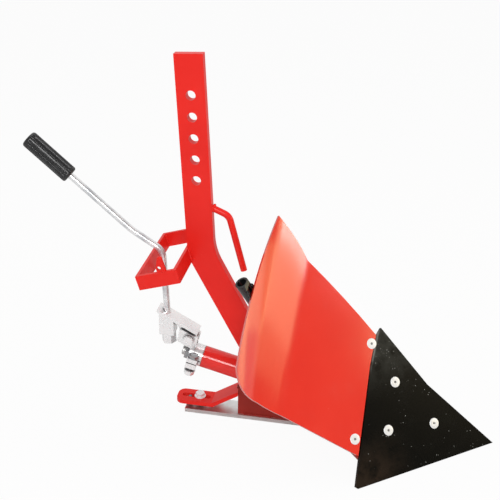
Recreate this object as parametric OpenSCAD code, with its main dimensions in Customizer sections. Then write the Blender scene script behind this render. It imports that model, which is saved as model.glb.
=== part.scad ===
// Adjustable one-furrow mouldboard plough for a walking tractor.
// Millimetres, +X the way it travels, +Y to the landside, +Z up, ground at z = 0.
// Side views are drawn as [x, z]; the working face has a frame of its own at the share's point.

/* [Standard] */
// width of the flat bar
bar_w = 50; // [40:1:70]
// thickness of the flat bar
bar_t = 15; // [10:0.5:20]
// height of the bar's top end
bar_top = 704; // [600:1:800]
// backward lean of the upper length, degrees
bar_lean = 3; // [0:0.5:8]
// forward slope of the lower length from upright, degrees
leg_slope = 28; // [22:0.5:34]
// length from the top to the bend, along the bar
bend_at = 363; // [340:1:390]
// radius of the bend at the bar's front edge
bend_r = 110; // [40:1:130]
// radius of the bend at the bar's rear edge
back_r = 40; // [25:1:110]
// diameter of the depth holes
hole_d = 17; // [12:0.5:21]
// diameter of the hook's round bar
hook_d = 12; // [8:0.5:13]
// number of depth holes
hole_n = 5; // [1:1:6]
// distance between depth holes
hole_pitch = 38; // [30:1:50]
// first hole below the top
hole_first = 70; // [40:1:90]

/* [Pivot] */
// nose-down slope of the pivot tube, degrees
tube_slope = 14; // [8:0.5:20]
// outside diameter of the pivot tube
tube_od = 42; // [36:1:54]
// length of the pivot tube
tube_len = 190; // [150:1:230]
// diameter of the shaft in the tube
shaft_d = 30; // [20:1:34]
// radial clearance of the running fits
run_gap = 0.05; // [0.02:0.01:0.1]
// play between the tube's ends and the collars
end_play = 1; // [0.5:0.1:3]
// diameter of the shaft's front flange
flange_d = 64; // [50:1:80]
// thickness of the shaft's front flange
flange_t = 12; // [6:1:16]

/* [Working face] */
// angle between the cutting edge and the way it travels, degrees
edge_angle = 37; // [30:0.5:48]
// lift of the working face from the ground, degrees
face_lift = 57.5; // [45:0.5:65]
// thickness of the share and the mouldboard
plate_t = 6; // [4:0.5:10]
// length of the cutting edge
edge_len = 300; // [240:1:360]
// radius of the mouldboard's rolled wing
roll_r = 200; // [140:5:400]
// open seam between share and mouldboard
seam = 1.2; // [0.5:0.1:3]

/* [Frog and sole] */
// thickness of the frog's backing plate
frog_t = 10; // [6:1:16]
// thickness of the frog's rib
rib_t = 12; // [6:1:16]
// width of the sole
sole_w = 45; // [35:1:60]
// thickness of the sole
sole_t = 8; // [5:0.5:14]
// width of the heel bar
heel_w = 40; // [30:1:50]
// thickness of the heel bar
heel_t = 8; // [5:0.5:12]

/* [Lever] */
// diameter of the lever's rod
rod_d = 12; // [8:0.5:16]
// diameter of the hand grip
grip_d = 29; // [24:0.5:36]
// length of the hand grip
grip_len = 91; // [80:1:120]
// radius of the lever's bend
lever_bend = 26; // [15:1:50]
// size of the lock nut under the lever's socket, across its flats
lock_af = 24; // [19:1:27]
// diameter of the lever's hinge pin
pin_d = 12; // [8:0.5:16]

/* [Gate] */
// outside width of the gate, across the plough
gate_w = 186; // [160:1:220]
// height of the gate's bars
gate_h = 27; // [20:1:30]
// thickness of the gate's bars
gate_t = 6; // [4:0.5:10]
// rise of the gate to the front, degrees
gate_rise = 17; // [10:0.5:22]
// outside length of the gate, along the plough
gate_len = 77.5; // [76:0.5:100]
// sideways distance between the notches
notch_pitch = 41; // [30:1:55]

/* [Hidden] */
$fn = 96;
eps = 0.01;
big = 2000;
ground_clear = 9;
tip = [578, 0];
tube_end = [20, 119];
axis_y = 0;
tube_dir = [cos(tube_slope), -sin(tube_slope)];
tube_up = [sin(tube_slope), cos(tube_slope)];
lean_dir = [sin(bar_lean), -cos(bar_lean)];
leg_dir = [sin(leg_slope), -cos(leg_slope)];
bar_head = [0, bar_top];
bend_pt = bar_head + bend_at * lean_dir;
rib_y = -11;
sole_y = 0.5;
sole_rear = -13;
sole_front = 470;
rod_foot = [-46, 142];
rod_knee = [-54, 336];
gate_at = [-5.5, 350];
heel_bolts = [-7, 13];
grip_end = [-292, 531];
lever_aim = unit(grip_end - rod_knee);
mid = [(tip[0] + grip_end[0]) / 2, -61];

hub_d = 42;
hub_t = 26;
nut_af = 27;
nut_t = 8;
thread_d = 18;
thread_len = 41;
ear_t = 6;
ear_gap = 16;
knuckle_t = 13;
pin_at = from_tube(-34.5, 37);

// a point beside the pivot axis: s along it from the tube's rear end, h above it
function from_tube(s, h) = tube_end + s * tube_dir + h * tube_up;
function unit(v) = v / norm(v);
function left_of(v) = [-v[1], v[0]];
function turn(u, w) = u[0] * w[1] - u[1] * w[0];
// height at x of the line from a to b
function height_on(a, b, x) = a[1] + (b[1] - a[1]) * (x - a[0]) / (b[0] - a[0]);
// points of a circle's arc about o, from an angle through a turn
function arc(o, r, from, by, n) = [for (i = [0 : n]) o + r * [cos(from + by * i / n), sin(from + by * i / n)]];
// points of an arc from a to b that bulges by sag to the left of a to b
function bow(a, b, sag, n) = [for (i = [0 : n]) let (t = i / n) a + t * (b - a) +
    4 * sag * t * (1 - t) * left_of(unit(b - a))];

// puts the side-view frame, x from the standard's head, into the part's own frame
module place() {
    translate([-mid[0], -mid[1], 0]) children();
}

// stands a side-view drawing up as a plate of thickness t, centred on y
module side_plate(t, y = 0) {
    translate([0, y + t / 2, 0]) rotate([90, 0, 0]) linear_extrude(t) children();
}

// turns +Z to the pivot axis, pointing forward, with its zero at the tube's rear end
module along_tube(s = 0) {
    translate([tube_end[0], axis_y, tube_end[1]]) rotate([0, 90 + tube_slope, 0])
        translate([0, 0, s]) children();
}

// puts a drawing on the working face: x along the cutting edge, y up the face, z out of it
module on_face(out = 0) {
    translate([tip[0], tip[1], 0]) rotate([face_lift, 0, edge_angle])
        translate([0, 0, out]) children();
}

// a round rod between two side-view points
module rod(a, b, r) {
    d = b - a;
    translate([a[0], a[1], 0]) rotate([0, 90, atan2(d[1], d[0])]) cylinder(h = norm(d), r = r);
}

// a round rod from a to b through the corner c; the bend swells a little over the straight lengths
module bent_rod(a, c, b, r, bend) {
    swell = 0.08;
    lap = 1;
    u = unit(c - a);
    w = unit(b - c);
    angle = acos(u * w);
    cut = bend * tan(angle / 2);
    side = turn(u, w) > 0 ? 1 : -1;
    t0 = c - cut * u;
    t1 = c + cut * w;
    o = t0 + side * bend * left_of(u);
    s0 = side > 0 ? t0 - o : t1 - o;
    rotate([90, 0, 0]) {
        rod(a, t0 + lap * u, r);
        rod(t1 - lap * w, b, r);
        translate([o[0], o[1], 0]) rotate([0, 0, atan2(s0[1], s0[0])])
            rotate_extrude(angle = angle) translate([bend, 0]) circle(r + swell);
    }
}

// a flat bar's side view from a to b, its width to both sides
module strip(a, b, w) {
    d = b - a;
    translate(a) rotate(atan2(d[1], d[0])) translate([0, -w / 2]) square([norm(d), w]);
}

// the standard's bar: two straight lengths and the bend between them, its rear edge the sharper
module standard_bar() {
    leg_len = 300;
    steps = 12;
    turned = leg_slope - bar_lean;
    leg_end = bend_pt + leg_len * leg_dir;
    across = left_of(lean_dir);
    mitre = across - tan(turned / 2) * lean_dir;
    start = atan2(-across[1], -across[0]);
    side_plate(bar_t) polygon(concat(
        [bar_head + bar_w / 2 * across],
        arc(bend_pt + (bend_r + bar_w / 2) * mitre, bend_r, start, turned, steps),
        [leg_end + bar_w / 2 * left_of(leg_dir), leg_end - bar_w / 2 * left_of(leg_dir)],
        arc(bend_pt + (back_r - bar_w / 2) * mitre, back_r, start + turned, -turned, steps),
        [bar_head - bar_w / 2 * across]));
}

module standard() {
    color("firebrick") place() difference() {
        standard_bar();
        for (i = [0 : hole_n - 1])
            let (c = bar_head + (hole_first + i * hole_pitch) * lean_dir)
                translate([c[0], bar_t, c[1]]) rotate([90, 0, 0]) cylinder(h = 2 * bar_t, d = hole_d);
        along_tube(-big / 2) cylinder(h = big, d = tube_od);
        along_tube(-big / 2) translate([0, -big / 2, 0]) cube([big, big, big]);
    }
}

module pivot_tube() {
    color("firebrick") place() difference() {
        along_tube() cylinder(h = tube_len, d = tube_od);
        along_tube(-1) cylinder(h = tube_len + 2, r = shaft_d / 2 + run_gap);
    }
}

module hook_rod() {
    root = [36, 432];
    corner = [69, 418];
    free_end = [97, 313];
    color("firebrick") place() difference() {
        bent_rod(root, corner, free_end, hook_d / 2, 20);
        standard_bar();
    }
}

// a gate bar's frame: x back from the standard's rear edge, z up from the gate's top
module on_gate() {
    translate([gate_at[0], 0, gate_at[1]]) rotate([0, -gate_rise, 0]) children();
}

module gate_front() {
    color("firebrick") place() difference() {
        on_gate() translate([-gate_t, -gate_w / 2, -gate_h]) cube([gate_t, gate_w, gate_h]);
        standard_bar();
    }
}

module gate_rear() {
    color("firebrick") place() on_gate()
        translate([-gate_len, -gate_w / 2, -gate_h]) cube([gate_t, gate_w, gate_h]);
}

module gate_side(y) {
    on_gate() translate([-gate_len + gate_t, y, -gate_h]) cube([gate_len - 2 * gate_t, gate_t, gate_h]);
}

// the near bar carries a small drilled lug that stands on its upper edge
module gate_near() {
    sunk = -1;
    inset = 0.5;
    lug_hole = [-29.5, 7.5];
    lug_hole_d = 7;
    color("firebrick") place() {
        gate_side(-gate_w / 2);
        on_gate() translate([0, -gate_w / 2 + gate_t - inset, 0]) rotate([90, 0, 0])
            linear_extrude(gate_t - 2 * inset) difference() {
                polygon([[-35, sunk], [-19, sunk], [-19, 25], [-22, 28], [-26, 28], [-35, 9]]);
                translate(lug_hole) circle(d = lug_hole_d);
            }
    }
}

module gate_far() {
    color("firebrick") place() gate_side(gate_w / 2 - gate_t);
}

// the notched plate runs along the front bar's foot, its notches open to the rear
module notch_plate() {
    plate_l = 11;
    notch_in = 1;
    notch_r = rod_d / 2 + 1.5;
    half = gate_w / 2 - gate_t;
    color("firebrick") place() on_gate() translate([-gate_t - plate_l, 0, -gate_h])
        linear_extrude(gate_t) difference() {
            translate([0, -half]) square([plate_l, 2 * half]);
            for (i = [-1 : 1]) translate([0, i * notch_pitch]) {
                translate([notch_in, 0]) circle(notch_r);
                translate([-1, -notch_r]) square([notch_in + 1, 2 * notch_r]);
            }
        }
}

// outlines on the working face, x negative from the point towards the wing
seam_top = [-189.5, 250.5];
seam_bend = [-216, 202];
seam_foot = [-edge_len - 3, 4];
shin_nick = [-110, 139];
share_crest = [-178, 261];
board_heel = [-283, 54];
board_nose = [-190.5, 251];
board_bend = [-217, 202];
roll_line = [-289, 404];
roll_turn = -25;
board_neck = [-292, 409];
board_peak = [-336, 496];
board_tail = [-486, 258];

module share() {
    color("dimgray") place() intersection() {
        on_face(-plate_t) linear_extrude(plate_t) polygon([
            [0, 0], shin_nick, share_crest, seam_top, seam_bend, seam_foot, [-edge_len, 0]]);
        translate([0, -big / 2, 0]) cube([big, big, big]);
    }
}

// the frame of the mouldboard's roll: +Z along the roll line, +Y out of the working face
module on_roll() {
    on_face() translate([roll_line[0], roll_line[1], 0]) rotate([90, 0, roll_turn]) children();
}

// the plate the mouldboard is cut from: flat in front of the roll line, rolled behind it
module rolled_section() {
    span = 46;
    flat_l = 420;
    translate([0, -plate_t]) square([flat_l, plate_t]);
    intersection() {
        translate([0, roll_r]) difference() {
            circle(roll_r + plate_t);
            circle(roll_r);
        }
        polygon([[0, roll_r], [0, -roll_r], [-2 * roll_r * tan(span), -roll_r]]);
    }
}

module board_outline() {
    shift = [-seam, 0];
    polygon(concat(
        [board_heel + shift, board_bend + shift],
        bow(board_nose + shift, board_neck, -2.5, 4),
        bow(board_neck, board_peak, -6, 8),
        bow(board_peak, board_tail, -10, 14),
        bow(board_tail, [-452, 193], -10, 8),
        bow([-452, 193], [-410, 159], -1, 3)));
}

module mouldboard() {
    color("firebrick") place() intersection() {
        on_roll() linear_extrude(900, center = true) rolled_section();
        on_face(-100) linear_extrude(300) board_outline();
    }
}

module frog_plate() {
    color("firebrick") place() on_face(-plate_t - frog_t) linear_extrude(frog_t)
        polygon([[-60, 38], [-128, 150], [-190, 246], [-232, 258], [-312, 96], [-275, 38]]);
}

// the frog's upright rib on the sole, from under the tube to the backing plate
module frog_rib() {
    flange_lo = from_tube(tube_len + end_play + flange_t, -flange_d / 2 + 2);
    flange_hi = from_tube(tube_len + end_play + flange_t, flange_d / 2 - 2);
    color("firebrick") place() difference() {
        side_plate(rib_t, rib_y) polygon([
            [92, sole_t], [92, 67], [flange_lo[0] - 14, 34], [flange_lo[0], 34], flange_hi,
            [265, 120], [330, 176], [460, 176], [546, sole_t]]);
        on_face(-plate_t - frog_t) translate([-big / 2, -big / 2, 0]) cube([big, big, big]);
        along_tube(-1) cylinder(h = tube_len + end_play + flange_t + 1, d = flange_d + eps);
    }
}

// the shaft in the tube, with a flange in front and a thread behind
module shaft() {
    color("silver") place() {
        along_tube(-hub_t - end_play) cylinder(h = hub_t + tube_len + 2 * end_play, d = shaft_d);
        along_tube(tube_len + end_play) cylinder(h = flange_t, d = flange_d);
        along_tube(-thread_len) cylinder(h = thread_len - hub_t - end_play, d = thread_d);
    }
}

module sole() {
    nose = 26;
    color("lightgray") place() translate([0, sole_y - sole_w / 2, 0]) linear_extrude(sole_t)
        polygon([[sole_rear, 0], [sole_front - nose, 0], [sole_front, nose / 2],
                 [sole_front, sole_w], [sole_rear, sole_w]]);
}

// the heel bar lies over the sole's rear end and rises to the frog's rib
module heel_bar() {
    low = sole_t + ground_clear;
    rise = 33;
    foot_x = -32;
    knee_x = 42;
    joint_x = 92;
    corner_r = 14;
    lift = (joint_x - knee_x) * tan(rise);
    mitre = [-heel_t * tan(rise / 2), heel_t];
    inset = heel_w / 2 - corner_r;
    slot_r = 5.5;
    slot_x = [-17, 29];
    color("firebrick") place() difference() {
        intersection() {
            side_plate(heel_w) polygon([
                [foot_x, low], [knee_x, low], [joint_x, low + lift],
                [joint_x, low + lift + heel_t / cos(rise)], [knee_x, low] + mitre, [foot_x, low + heel_t]]);
            linear_extrude(bar_top) polygon(concat(
                [[big, -heel_w]], arc([foot_x + corner_r, -inset], corner_r, 270, -90, 10),
                arc([foot_x + corner_r, inset], corner_r, 180, -90, 10), [[big, heel_w]]));
        }
        linear_extrude(low + 2 * heel_t) polygon(concat(
            arc([slot_x[0], sole_y], slot_r, 90, 180, 12), arc([slot_x[1], sole_y], slot_r, 270, 180, 12)));
    }
}

module heel_nuts() {
    color("dimgray") place() for (x = heel_bolts)
        translate([x, sole_y, sole_t]) cylinder(h = ground_clear, d = 15, $fn = 6);
}

// the open tube that stays the wing from the frog's rib, dressed to seat on the wing's back
module stay() {
    od = 24;
    wall = 3.5;
    seat_gap = 0.15;
    lo = [241, -13.5, 87];
    hi = [114.5, -115.5, 349.5];
    d = hi - lo;
    color("black") place() difference() {
        translate(lo) rotate([0, acos(d[2] / norm(d)), atan2(d[1], d[0])]) difference() {
            cylinder(h = norm(d), d = od);
            translate([0, 0, -1]) cylinder(h = norm(d) + 2, d = od - 2 * wall);
        }
        translate([0, rib_y - rib_t / 2, -big / 2]) cube([big, big, big]);
        on_roll() translate([0, roll_r, 0]) cylinder(h = big, r = roll_r + plate_t + seat_gap, center = true);
    }
}

// the crank: a hub split on its near side, with lugs for its pinch bolt, and two ears for the lever's pin
module crank() {
    slit = 2;
    pinch_w = 24;
    pinch_y = -24;
    pinch = [for (p = [[-6, -13], [-6, 9], [-26, 9], [-26, -13]]) from_tube(p[0], p[1])];
    gap = [for (p = [[0, -2], [0, -2 + slit], [-30, -2 + slit], [-30, -2]]) from_tube(p[0], p[1])];
    ear = [for (p = [[-18, 8], [-18, 43], [-24, 45.5], [-52, 51], [-56, 48], [-56, 24], [-27, 17], [-27, 8]])
        from_tube(p[0], p[1])];
    color("gainsboro") place() difference() {
        union() {
            along_tube(-hub_t - end_play) cylinder(h = hub_t, d = hub_d);
            side_plate(pinch_w, pinch_y) polygon(pinch);
            for (side = [-1, 1]) side_plate(ear_t, side * (ear_gap + ear_t) / 2) polygon(ear);
        }
        along_tube(-big / 2) cylinder(h = big, d = shaft_d);
        side_plate(pinch_w + slit, pinch_y - slit / 2) polygon(gap);
        translate([pin_at[0], big / 2, pin_at[1]]) rotate([90, 0, 0])
            cylinder(h = big, r = pin_d / 2 + run_gap);
    }
}

module shaft_nut() {
    color("gainsboro") place() difference() {
        along_tube(-hub_t - end_play - nut_t) cylinder(h = nut_t, d = nut_af / cos(30), $fn = 6);
        along_tube(-big / 2) cylinder(h = big, d = thread_d);
    }
}

module hinge_pin() {
    len = ear_gap + 2 * ear_t + 14;
    head_t = 5;
    color("gainsboro") place() translate([pin_at[0], len / 2, pin_at[1]]) rotate([90, 0, 0]) {
        cylinder(h = len, d = pin_d);
        translate([0, 0, len - 2]) cylinder(h = head_t, d = pin_d + 6);
    }
}

module lever_rod() {
    sink = 70;
    reach = norm(grip_end - rod_knee) - grip_len;
    hand = rod_knee + (reach + sink) * lever_aim;
    color("gainsboro") place() bent_rod(rod_foot, rod_knee, hand, rod_d / 2, lever_bend);
}

// turns +Z to the lever rod's lower length, with its zero at the rod's lower end
module along_rod(s) {
    d = rod_knee - rod_foot;
    translate([rod_foot[0], 0, rod_foot[1]]) rotate([0, atan2(d[0], d[1]), 0])
        translate([0, 0, s]) children();
}

// the lever's foot: a sloping strap, the knuckle on the pin, the rod's socket and its lock nut
module lever_foot() {
    strap_w = 30;
    strap_t = 5;
    strap_rear = [-66, 217];
    strap_front = [12, 175];
    eye_d = 24;
    socket_w = 28;
    socket_foot = 166;
    socket_x = [-62, -62 + socket_w];
    nut_t = 20;
    color("gainsboro") place() difference() {
        union() {
            side_plate(strap_w) strip(strap_rear, strap_front, strap_t);
            side_plate(knuckle_t) {
                translate(pin_at) circle(d = eye_d);
                polygon([pin_at + [-11.5, -3], pin_at + [11.9, -1], strap_front + [-8, 4], [-34, 199.5]]);
            }
            side_plate(socket_w) polygon([
                [socket_x[0], socket_foot], [socket_x[1], socket_foot],
                [socket_x[1], height_on(strap_rear, strap_front, socket_x[1])],
                [socket_x[0], height_on(strap_rear, strap_front, socket_x[0])]]);
            along_rod(socket_foot - rod_foot[1] - nut_t)
                cylinder(h = nut_t + 1, d = lock_af / cos(30), $fn = 6);
        }
        along_rod(-big / 2) cylinder(h = big, r = rod_d / 2 + run_gap);
        translate([pin_at[0], big / 2, pin_at[1]]) rotate([90, 0, 0])
            cylinder(h = big, r = pin_d / 2 + run_gap);
    }
}

// the hand grip: a collar at the rod, a slight waist and a rounded end
module grip() {
    r = grip_d / 2;
    collar = 7;
    color("black") place() translate([grip_end[0], 0, grip_end[1]])
        rotate([0, 90 + atan2(lever_aim[1], -lever_aim[0]), 0]) difference() {
            rotate_extrude() {
                polygon([[0, 0], [r - collar, 0], [r - 0.6, grip_len * 0.35], [r - 0.6, grip_len - collar],
                         [r + 1, grip_len - collar], [r + 1, grip_len - 2], [r - 1, grip_len], [0, grip_len]]);
                intersection() {
                    translate([r - collar - 0.6, collar]) circle(collar);
                    square([r, grip_len]);
                }
                translate([0, collar]) square([r - 0.6, grip_len - 2 * collar]);
            }
            translate([0, 0, grip_len - 72]) cylinder(h = 80, r = rod_d / 2 + run_gap);
        }
}

standard();
pivot_tube();
hook_rod();
gate_front();
gate_rear();
gate_near();
gate_far();
notch_plate();
share();
mouldboard();
frog_plate();
frog_rib();
shaft();
sole();
heel_bar();
heel_nuts();
stay();
crank();
shaft_nut();
hinge_pin();
lever_rod();
lever_foot();
grip();
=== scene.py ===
"""Looks of a walking-tractor mouldboard plough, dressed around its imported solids."""

import logging
import math
import random
from collections.abc import Callable, Sequence
from dataclasses import dataclass, field, replace
from enum import Enum

import bmesh
import bpy
from mathutils import Matrix, Vector


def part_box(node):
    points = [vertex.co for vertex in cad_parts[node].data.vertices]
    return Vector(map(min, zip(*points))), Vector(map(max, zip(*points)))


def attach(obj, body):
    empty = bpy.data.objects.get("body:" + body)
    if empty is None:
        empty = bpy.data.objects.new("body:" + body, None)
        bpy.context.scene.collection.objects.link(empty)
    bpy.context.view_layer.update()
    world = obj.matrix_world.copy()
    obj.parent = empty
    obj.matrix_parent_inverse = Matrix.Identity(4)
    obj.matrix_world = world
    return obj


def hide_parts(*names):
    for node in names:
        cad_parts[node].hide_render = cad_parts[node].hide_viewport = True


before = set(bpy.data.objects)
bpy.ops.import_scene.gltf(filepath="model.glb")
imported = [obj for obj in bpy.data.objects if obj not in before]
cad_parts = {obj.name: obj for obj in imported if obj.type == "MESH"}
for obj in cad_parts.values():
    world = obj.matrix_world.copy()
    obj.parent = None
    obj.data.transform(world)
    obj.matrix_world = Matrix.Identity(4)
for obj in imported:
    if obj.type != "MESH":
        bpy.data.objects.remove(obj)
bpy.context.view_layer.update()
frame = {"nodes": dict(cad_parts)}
MM = 0.001
LOG = logging.getLogger("plough")
Point = tuple[float, float]
Triple = tuple[float, float, float]
Value = "Sock | float | Sequence[float]"


class Body(Enum):
    """The plough's rigid bodies."""

    BOTTOM = "bottom"
    HITCH = "hitch"
    LEVER = "lever"


class Slot(Enum):
    """The record's material slots, which each added piece is listed with."""

    RED = "red_paint"
    BLACK = "black_paint"
    STEEL = "bare_steel"
    ZINC = "zinc"
    GRIP = "grip_plastic"


@dataclass(frozen=True)
class Layout:
    """Places on the plough, from side-view millimetres to the part's frame in metres."""

    tip_x: float = 578.0
    tube_end: Point = (20.0, 119.0)
    tube_slope: float = math.radians(14.0)
    edge_angle: float = math.radians(37.0)
    face_lift: float = math.radians(57.5)
    gate_at: Point = (-5.5, 350.0)
    gate_rise: float = math.radians(17.0)

    @property
    def shift(self) -> Vector:
        """How far the side view's zero is from the part's own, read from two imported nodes."""
        bar_lo, bar_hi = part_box("standard")
        return Vector((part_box("share")[1].x - self.tip_x * MM, (bar_lo.y + bar_hi.y) / 2, 0.0))

    def at(self, x: float, y: float, z: float) -> Vector:
        """A point of the side view, y across, as a place in the part's frame."""
        return Vector((x, y, z)) * MM + self.shift

    def tube(self, s: float, h: float, y: float = 0.0) -> Vector:
        """A point s along the pivot axis from the tube's rear end and h above it."""
        c, n = math.cos(self.tube_slope), math.sin(self.tube_slope)
        return self.at(self.tube_end[0] + s * c + h * n, y, self.tube_end[1] - s * n + h * c)

    def tube_axis(self) -> Vector:
        """The pivot axis, pointing forward."""
        return Vector((math.cos(self.tube_slope), 0.0, -math.sin(self.tube_slope)))

    def gate(self, x: float, y: float, z: float) -> Vector:
        """A point of the gate: x back from the standard, z up from the gate's top."""
        c, n = math.cos(self.gate_rise), math.sin(self.gate_rise)
        return self.at(self.gate_at[0] + x * c - z * n, y, self.gate_at[1] + x * n + z * c)

    def face_turn(self) -> Matrix:
        """The working face's directions: along the cutting edge, up the face, out of it."""
        return Matrix.Rotation(self.edge_angle, 3, "Z") @ Matrix.Rotation(self.face_lift, 3, "X")

    def face_out(self) -> Vector:
        """The direction out of the working face."""
        return self.face_turn() @ Vector((0.0, 0.0, 1.0))

    def face(self, x: float, y: float, out: float = 0.0) -> Vector:
        """A point of the working face, from the share's point."""
        return self.at(self.tip_x, 0.0, 0.0) + self.face_turn() @ (Vector((x, y, out)) * MM)


LAYOUT = Layout()


class Sock:
    """A shader socket that takes part in Python expressions."""

    def __init__(self, graph: "Graph", socket: bpy.types.NodeSocket | None) -> None:
        """Keeps the socket and the graph that its Math nodes go into."""
        self.graph = graph
        self.socket = socket

    def math(self, operation: str, *others: "Sock | float") -> "Sock":
        """One Math node on this value.

        Args:
            operation: Blender's name of the operation.
            others: the second and third values.

        Returns:
            The node's result.
        """
        inputs = dict(enumerate((self, *others)))
        return self.graph.make("ShaderNodeMath", {"operation": operation}, inputs)

    def __add__(self, other: "Sock | float") -> "Sock":
        """Sum."""
        return self.math("ADD", other)

    def __sub__(self, other: "Sock | float") -> "Sock":
        """Difference."""
        return self.math("SUBTRACT", other)

    def __rsub__(self, other: float) -> "Sock":
        """Difference with this value taken off a number."""
        return self * -1.0 + other

    def __mul__(self, other: "Sock | float") -> "Sock":
        """Product."""
        return self.math("MULTIPLY", other)

    __radd__ = __add__
    __rmul__ = __mul__

    def step(self, low: float, high: float) -> "Sock":
        """A smooth step, which falls where low is the larger.

        Args:
            low: the value that gives 0.
            high: the value that gives 1.

        Returns:
            The result, from 0 to 1.
        """
        settings = {"interpolation_type": "SMOOTHSTEP"}
        lo, hi, a, b = (low, high, 0.0, 1.0) if low < high else (high, low, 1.0, 0.0)
        return self.graph.make("ShaderNodeMapRange", settings, {0: self, 1: lo, 2: hi, 3: a, 4: b})


class Graph:
    """The nodes of one material or of the world."""

    def __init__(self, owner: bpy.types.Material | bpy.types.World) -> None:
        """Empties the owner's nodes.

        Args:
            owner: the material or world that the nodes belong to.
        """
        owner.use_nodes = True
        self.owner = owner
        self.tree = owner.node_tree
        self.tree.nodes.clear()

    @classmethod
    def material(cls, name: str) -> "Graph":
        """The graph of a new material."""
        return cls(bpy.data.materials.new(name))

    def make(self, kind: str, settings: dict[str, object] | None = None,
             inputs: "dict[int | str, Value] | None" = None, out: int | str = 0) -> Sock:
        """Any node.

        Args:
            kind: the node's type name.
            settings: its own properties, which are set before the sockets.
            inputs: values or links by socket name or number.
            out: which output comes back.

        Returns:
            The chosen output.
        """
        node = self.tree.nodes.new(kind)
        for key, value in (settings or {}).items():
            setattr(node, key, value)
        for key, value in (inputs or {}).items():
            if isinstance(value, Sock):
                self.tree.links.new(value.socket, node.inputs[key])
            else:
                node.inputs[key].default_value = value
        return Sock(self, node.outputs[out] if len(node.outputs) else None)

    def coords(self) -> Sock:
        """The part's own frame, in metres, which a posed body carries with it."""
        return self.make("ShaderNodeTexCoord", out="Object")

    def turned(self, vector: Sock, turn: Sequence[float], scale: Sequence[float]) -> Sock:
        """A vector turned and then stretched."""
        spun = self.make("ShaderNodeVectorRotate", {"rotation_type": "EULER_XYZ"},
                         {"Vector": vector, "Rotation": turn})
        return self.make("ShaderNodeVectorMath", {"operation": "MULTIPLY"}, {0: spun, 1: scale})

    def noise(self, vector: Sock, scale: float, detail: float = 2.0, rough: float = 0.5) -> Sock:
        """Soft noise from 0 to 1."""
        return self.make("ShaderNodeTexNoise", None,
                         {"Vector": vector, "Scale": scale, "Detail": detail, "Roughness": rough})

    def cells(self, vector: Sock, scale: float) -> Sock:
        """How far the nearest of many scattered points is, in cells."""
        return self.make("ShaderNodeTexVoronoi", None, {"Vector": vector, "Scale": scale})

    def part(self, vector: Sock, axis: str) -> Sock:
        """One component of a vector."""
        return self.make("ShaderNodeSeparateXYZ", None, {0: vector}, axis)

    def mix(self, factor: Sock, low: Value, high: Value) -> Sock:
        """A colour between two."""
        node = {"data_type": "RGBA", "clamp_factor": True}
        return self.make("ShaderNodeMix", node, {0: factor, 6: low, 7: high}, 2)

    def bump(self, height: Sock, strength: float, distance: float) -> Sock:
        """A surface normal from a height."""
        return self.make("ShaderNodeBump", None,
                         {"Height": height, "Strength": strength, "Distance": distance})

    def surface(self, inputs: "dict[int | str, Value]") -> bpy.types.Material:
        """Ends the graph in a Principled surface.

        Args:
            inputs: the surface's values or links by socket name.

        Returns:
            The finished material.
        """
        shader = self.make("ShaderNodeBsdfPrincipled", None, inputs)
        self.make("ShaderNodeOutputMaterial", None, {"Surface": shader})
        return self.owner


def rgba(colour: Sequence[float]) -> tuple[float, float, float, float]:
    """A colour with full alpha."""
    return (colour[0], colour[1], colour[2], 1.0)


@dataclass(frozen=True)
class Patches:
    """Soft noise that is cut to a mask.

    Attributes:
        scale: how fine the patches are, per metre.
        low: the noise at which the mask starts.
        high: the noise at which it is full.
        detail: how many finer layers there are.
        rough: how strong the finer layers are.
    """

    scale: float
    low: float
    high: float
    detail: float = 2.0
    rough: float = 0.5

    def mask(self, g: Graph, where: Sock) -> Sock:
        """The mask, from 0 to 1."""
        return g.noise(where, self.scale, self.detail, self.rough).step(self.low, self.high)


@dataclass(frozen=True)
class Enamel:
    """Sprayed gloss paint with a faint orange peel and a little dust."""

    name: str
    colour: Triple
    deep: Triple
    dust: Triple
    roughness: float = 0.3
    gloss: float = 0.2
    coat: float = 0.0
    coat_ior: float = 1.5
    coat_roughness: float = 0.1
    drift: Patches = Patches(7.0, 0.3, 0.72, 3.0)
    specks: Patches = Patches(420.0, 0.735, 0.78)
    haze: Patches = Patches(24.0, 0.5, 0.8, 4.0, 0.65)
    ripple_scale: float = 520.0
    sag_scale: float = 46.0
    peel: float = 0.05
    peel_depth: float = 0.0009

    def build(self) -> bpy.types.Material:
        """Makes the material."""
        g = Graph.material(self.name)
        where = g.coords()
        specks, haze = self.specks.mask(g, where), self.haze.mask(g, where)
        tone = g.mix(self.drift.mask(g, where), rgba(self.deep), rgba(self.colour))
        tone = g.mix(specks * 0.5 + haze * 0.025, tone, rgba(self.dust))
        ripple, sag = g.noise(where, self.ripple_scale, 1.0), g.noise(where, self.sag_scale, 1.0)
        return g.surface({
            "Base Color": tone, "Roughness": haze * 0.1 + specks * 0.3 + self.roughness,
            "Normal": g.bump(ripple * 0.5 + sag * 0.6, self.peel, self.peel_depth),
            "Specular IOR Level": self.gloss, "Coat Weight": self.coat,
            "Coat Roughness": self.coat_roughness, "Coat IOR": self.coat_ior,
        })


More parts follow.
